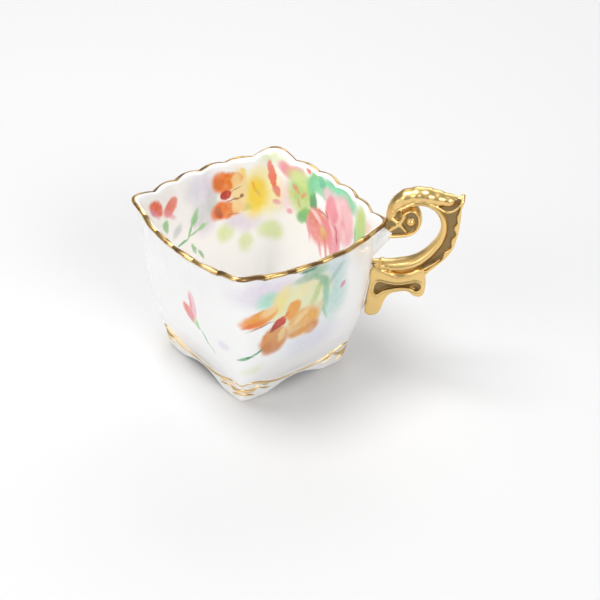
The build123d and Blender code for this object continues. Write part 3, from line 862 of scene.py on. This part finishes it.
# Distances from the bowl's axis and heights, with a roll's radius as the third number.
CREST = ((20.2, 26.9, 0.75), (20.5, 28.4, 0.95), (21.1, 30.0, 1.1), (22.3, 31.25, 1.12), (23.8, 31.85, 1.12),
         (25.3, 31.95, 1.12), (26.8, 31.75, 1.05), (28.2, 31.5, 0.95), (29.4, 31.5, 0.75), (30.3, 31.9, 0.5),
         (31.0, 32.35, 0.2))
CREST_BEADS = ((22.4, 31.33, 1.3), (24.1, 31.85, 1.35), (25.8, 31.9, 1.35), (27.4, 31.65, 1.25),
               (28.9, 31.45, 1.08))
CREST_LINE = ((20.5, 29.0, 0.12), (22.3, 30.0, 0.18), (23.4, 30.7, 0.2), (24.7, 31.0, 0.2),
              (27.1, 30.75, 0.2), (29.0, 30.0, 0.2), (30.2, 30.7, 0.18), (30.9, 31.9, 0.12))
RING = ((23.2, 30.2, 0.5), (24.8, 30.7, 0.55), (26.3, 30.5, 0.6), (27.6, 29.6, 0.62), (28.4, 28.1, 0.62),
        (28.6, 26.5, 0.63), (28.2, 24.6, 0.68), (27.4, 23.1, 0.74), (26.1, 21.4, 0.8), (24.4, 20.0, 0.85),
        (22.2, 19.2, 0.85), (20.6, 18.95, 0.75), (18.9, 19.0, 0.6), (17.7, 19.1, 0.35))
RING_LINE = ((18.7, 18.5, 0.12), (20.5, 17.9, 0.17), (22.2, 17.4, 0.18), (23.8, 17.9, 0.18),
             (25.4, 18.9, 0.18), (27.0, 20.1, 0.17), (28.4, 21.4, 0.12))
RING_BEADS = ((19.4, 19.0), (20.8, 18.9))

# Outlines of the flat parts, as distances from the axis and heights.
WEB = ((31.0, 32.2), (31.0, 30.3), (30.9, 27.3), (30.6, 25.0), (29.9, 22.8), (28.6, 21.0), (27.0, 19.2),
       (25.6, 18.2), (24.6, 19.5), (26.1, 21.2), (27.4, 23.0), (28.2, 24.6), (28.6, 26.5), (28.5, 28.1),
       (27.9, 29.6), (28.3, 30.9), (29.6, 31.5))
SCALLOPED_EDGE = ((31.05, 32.2), (31.0, 30.3), (30.9, 27.3), (30.6, 25.0), (29.9, 22.7), (28.6, 20.8),
                  (27.0, 19.0), (26.0, 18.0), (25.3, 18.3), (26.2, 18.9), (27.4, 20.1), (28.55, 21.2),
                  (28.9, 22.6), (29.8, 23.5), (29.8, 24.9), (30.4, 25.9), (30.05, 27.1), (30.5, 28.1),
                  (30.35, 28.8), (30.7, 30.4))
BRACKET = ((18.2, 18.5), (20.5, 18.2), (22.2, 18.0), (23.8, 18.4), (25.4, 19.2), (26.3, 18.6), (26.2, 17.8),
           (26.3, 16.7), (26.4, 15.5), (25.9, 14.2), (24.8, 14.1), (23.7, 14.8), (22.3, 14.6), (21.0, 14.0),
           (20.2, 12.7), (19.7, 11.0), (19.0, 10.0), (17.4, 9.9), (17.4, 12.0), (17.8, 15.7))
BONE = ((18.5, 15.7), (19.0, 16.3), (20.5, 16.2), (22.2, 16.1), (23.7, 16.5), (24.9, 16.9), (25.7, 16.5),
        (25.8, 15.6), (25.1, 15.0), (24.0, 15.4), (22.3, 15.3), (20.9, 14.9), (19.8, 14.4), (18.9, 13.7),
        (18.5, 13.8), (18.35, 14.6))
VOLUTE_DISC = ((20.0, 24.9), (22.5, 25.1), (24.0, 25.8), (24.6, 27.2), (24.1, 28.7), (23.2, 29.1),
               (21.9, 28.7), (20.2, 28.4))
VOLUTE_MIDDLE = (23.45, 27.3)
VOLUTE = ((21.9, 28.1, 0.3), (22.8, 29.0, 0.34), (23.6, 29.4, 0.36), (24.3, 29.0, 0.36), (24.75, 27.9, 0.36),
          (24.65, 26.7, 0.36), (24.0, 25.6, 0.36), (22.9, 24.95, 0.36), (21.5, 24.65, 0.36),
          (20.2, 24.4, 0.34))
LEAF_VEINS = (((20.3, 27.9, 0.3), (21.7, 26.9, 0.34), (22.9, 25.6, 0.22)),
              ((20.2, 25.5, 0.26), (21.6, 26.8, 0.34), (22.6, 28.5, 0.26)))

# How many times broader than high each roll is, across the handle.
CREST_BREADTH, RING_BREADTH, VOLUTE_BREADTH, SLIP_BREADTH = 1.25, 1.75, 3.4, 1.1

# Beads, as half their length and height, and half their breadth across the handle.
RING_BEAD = ((0.6, 0.75), 1.45)
VOLUTE_BALL = ((0.85, 0.85), 1.3)
CREST_LUMP = 1.15             # half the length of a lump on the crest

FACE = 1.15                   # half the thickness of the raised flat parts
CORE = 0.5                    # half the thickness of the web between them
DISC = 0.66                   # half the thickness of the volute's disc
SHADED_RECESS_DEPTH = 0.74                 # gold nearer than this to the handle's middle plane lies in a recess and gets painted shade; the volute's disc lies within it
BONE_LINE = 0.17              # radius of the raised line round the bracket's recess

# How far the raised lines' middles stand from the handle's middle plane.
CREST_LINE_OUT, RING_LINE_OUT, BONE_LINE_OUT, VEIN_OUT = 1.25, 1.15, 1.14, 0.9


class TEACUP_OT_handle(bpy.types.Operator):
    """Model the gilded scroll handle"""

    bl_idname = "teacup.handle"
    bl_label = "Scroll Handle"

    def execute(self, context):
        colours = context.scene.teacup_colours
        crest = [roll("crest", CREST, CREST_BREADTH)]
        for x, z, size in CREST_BEADS:
            crest.append(bead("crest_bead", x, z, (CREST_LUMP, size), CREST_BREADTH * size))
        parts = [melt("crest", crest, voxel=0.12, smoothing=110)]
        parts += [roll("ring", RING, RING_BREADTH), roll("volute", VOLUTE, VOLUTE_BREADTH)]
        parts += [plate("web", WEB, CORE), plate("scalloped_edge", SCALLOPED_EDGE, FACE)]
        parts += [plate("bracket_core", BRACKET, CORE), plate("bracket_frame", BRACKET, FACE, hole=BONE)]
        parts += [plate("volute_disc", VOLUTE_DISC, DISC)]
        parts += [bead("volute_ball", *VOLUTE_MIDDLE, *VOLUTE_BALL)]
        parts += [bead("ring_bead", x, z, *RING_BEAD) for x, z in RING_BEADS]
        bone_line = [(x, z, BONE_LINE) for x, z in (*BONE, BONE[0])]
        for side in (-1, 1):
            parts += [roll("crest_line", CREST_LINE, side=side * CREST_LINE_OUT)]
            parts += [roll("ring_line", RING_LINE, side=side * RING_LINE_OUT)]
            parts += [roll("bone_line", bone_line, side=side * BONE_LINE_OUT)]
            parts += [roll("leaf_vein", vein, side=side * VEIN_OUT) for vein in LEAF_VEINS]
        handle = melt("scroll_handle", parts, voxel=0.096, smoothing=13)
        golds = [burnished_gold("handle_gold", colours.gold, colours.worn_gold, wear=0.0),
                 burnished_gold("sunken_gold", colours.sunken_gold, colours.worn_gold, wear=0.1)]
        finish(handle, golds, "gilt_porcelain", "handle")
        # Painted shade: faces that lie in the handle's recesses and face outwards take the darker gold.
        for face in handle.data.polygons:
            in_shaded_recess = abs(face.center.y) < SHADED_RECESS_DEPTH * MM and abs(face.normal.y) > 0.6
            face.material_index = 1 if in_shaded_recess else 0
        return {"FINISHED"}


# The slip joints' middle lines, as distance from the axis, height and radius.
UPPER_SLIP = ((17.5, 19.9, 0.4), (18.0, 21.5, 0.85), (18.7, 23.0, 1.1), (19.6, 24.4, 1.15),
              (20.3, 25.4, 0.85))
LOWER_SLIP = ((16.2, 9.7, 0.5), (16.7, 12.0, 0.75), (17.1, 14.5, 0.8), (17.4, 17.0, 0.8), (17.7, 19.2, 0.5))


class TEACUP_OT_slip_joints(bpy.types.Operator):
    """Model the white slip that joins the handle to the bowl"""

    bl_idname = "teacup.slip_joints"
    bl_label = "Slip Joints"

    def execute(self, context):
        glaze = glazed_porcelain("slip_under_glaze", context.scene.teacup_colours.glaze)
        for place, line in (("upper", UPPER_SLIP), ("lower", LOWER_SLIP)):
            joint = melt(place + "_slip_web", [roll("slip", line, SLIP_BREADTH)], voxel=0.1, smoothing=14)
            finish(joint, [glaze], "slip", place + "_slip_joint")
        return {"FINISHED"}


# ---------------------------------------------------------------------------------- the stage

CUP_MIDDLE = (0.005, 0.0, 0.015)
FLOOR_SIZE = 3.0

# Soft round lights: place and size in metres, power in watts.
LIGHTS = (
    ("key_box", (-0.15, 0.01, 0.48), (0.26, 0.26), 1.5),
    ("back_box", (0.05, 0.5, 0.32), (0.5, 0.25), 0.75),
    ("front_box", (0.34, -0.4, 0.34), (0.3, 0.3), 1.35),
    ("left_box", (-0.4, -0.35, 0.25), (0.35, 0.35), 0.85),
)
ROOM_LOW, ROOM_HIGH, ROOM_STRENGTH = "#8b8b8e", "#dededf", 0.62     # the room, darker near its floor

CAMERA_PLACE = (0.03554, -0.25478, 0.18564)
CAMERA_HEADING, CAMERA_DROP, CAMERA_ROLL = 6.42, 34.33, 2.05        # degrees
CAMERA_LENS, CAMERA_SENSOR = 118.07, 36                             # millimetres


def soft_box(name, place, size, power):
    """A soft round studio light that looks at the cup."""
    bpy.ops.object.light_add(type="AREA", location=place)
    box = bpy.context.object
    box.name = name
    box.data.shape = "ELLIPSE"
    box.data.size, box.data.size_y = size
    box.data.energy = power
    box.rotation_euler = (Vector(CUP_MIDDLE) - Vector(place)).to_track_quat("-Z", "Y").to_euler()


class TEACUP_OT_stage(bpy.types.Operator):
    """Set the pale floor, the soft lights and the camera"""

    bl_idname = "teacup.stage"
    bl_label = "Stage"

    def execute(self, context):
        scene = context.scene
        scene.view_settings.view_transform = "Standard"
        bpy.ops.object.select_all(action="DESELECT")
        bpy.ops.mesh.primitive_plane_add(size=FLOOR_SIZE)
        floor = context.object
        floor.name = "pale_floor"
        paper, tree, shader = new_material("matte_white_paper")
        shader.inputs["Roughness"].default_value = 0.6
        place = add(tree, "TexCoord")
        tooth = add(tree, "TexNoise", {}, {"Vector": place.outputs["Object"], "Scale": 12.0, "Detail": 2.0})
        white = scene.teacup_colours.floor
        sheet = add(tree, "Mix", {"data_type": "RGBA"}, {
            0: tooth.outputs[0], 6: (*white, 1.0), 7: (*[channel * 0.985 for channel in white], 1.0)})
        tree.links.new(sheet.outputs[2], shader.inputs["Base Color"])
        floor.data.materials.append(paper)

        for light in LIGHTS:
            soft_box(*light)
        world = bpy.data.worlds.new("studio")
        world.use_nodes = True
        scene.world = world
        room, backdrop = world.node_tree, world.node_tree.nodes["Background"]
        place = add(room, "TexCoord")
        axes = add(room, "SeparateXYZ", inputs={0: place.outputs["Generated"]})
        height = add(room, "MapRange", {}, {"Value": axes.outputs[2], "From Min": 0.1, "From Max": 0.8})
        shade = add(room, "Mix", {"data_type": "RGBA"},
                    {0: height.outputs[0], 6: linear(ROOM_LOW), 7: linear(ROOM_HIGH)})
        room.links.new(shade.outputs[2], backdrop.inputs["Color"])
        backdrop.inputs["Strength"].default_value = ROOM_STRENGTH

        bpy.ops.object.camera_add(location=CAMERA_PLACE)
        camera = context.object
        turn = Euler((0, 0, radians(CAMERA_HEADING))).to_matrix()
        turn = turn @ Euler((radians(90 - CAMERA_DROP), 0, 0)).to_matrix()
        camera.rotation_euler = (turn @ Euler((0, 0, radians(CAMERA_ROLL))).to_matrix()).to_euler()
        camera.data.lens = CAMERA_LENS
        camera.data.sensor_width = CAMERA_SENSOR
        camera.data.clip_start = 0.01
        scene.camera = camera
        return {"FINISHED"}


class TEACUP_PT_pieces(bpy.types.Panel):
    """Lists the teacup's sizes, colours and pieces"""

    bl_label = "Teacup"
    bl_idname = "TEACUP_PT_pieces"
    bl_space_type = "VIEW_3D"
    bl_region_type = "UI"
    bl_category = "Teacup"

    def draw(self, context):
        for settings in (context.scene.teacup_sizes, context.scene.teacup_colours):
            box = self.layout.box()
            for name in settings.__annotations__:
                box.prop(settings, name)
        for operator in OPERATORS:
            self.layout.operator(operator.bl_idname)


OPERATORS = (TEACUP_OT_bowl, TEACUP_OT_rim_gilding, TEACUP_OT_foot_gilding, TEACUP_OT_handle,
             TEACUP_OT_slip_joints, TEACUP_OT_stage)
CLASSES = (TeacupSizes, TeacupColours, *OPERATORS, TEACUP_PT_pieces)


def register():
    for item in CLASSES:
        bpy.utils.register_class(item)
    bpy.types.Scene.teacup_sizes = PointerProperty(type=TeacupSizes)
    bpy.types.Scene.teacup_colours = PointerProperty(type=TeacupColours)


def unregister():
    del bpy.types.Scene.teacup_colours
    del bpy.types.Scene.teacup_sizes
    for item in reversed(CLASSES):
        bpy.utils.unregister_class(item)


def main():
    register()
    bpy.ops.teacup.bowl()
    bpy.ops.teacup.rim_gilding()
    bpy.ops.teacup.foot_gilding()
    bpy.ops.teacup.handle()
    bpy.ops.teacup.slip_joints()
    bpy.ops.teacup.stage()


if __name__ == "__main__":
    main()
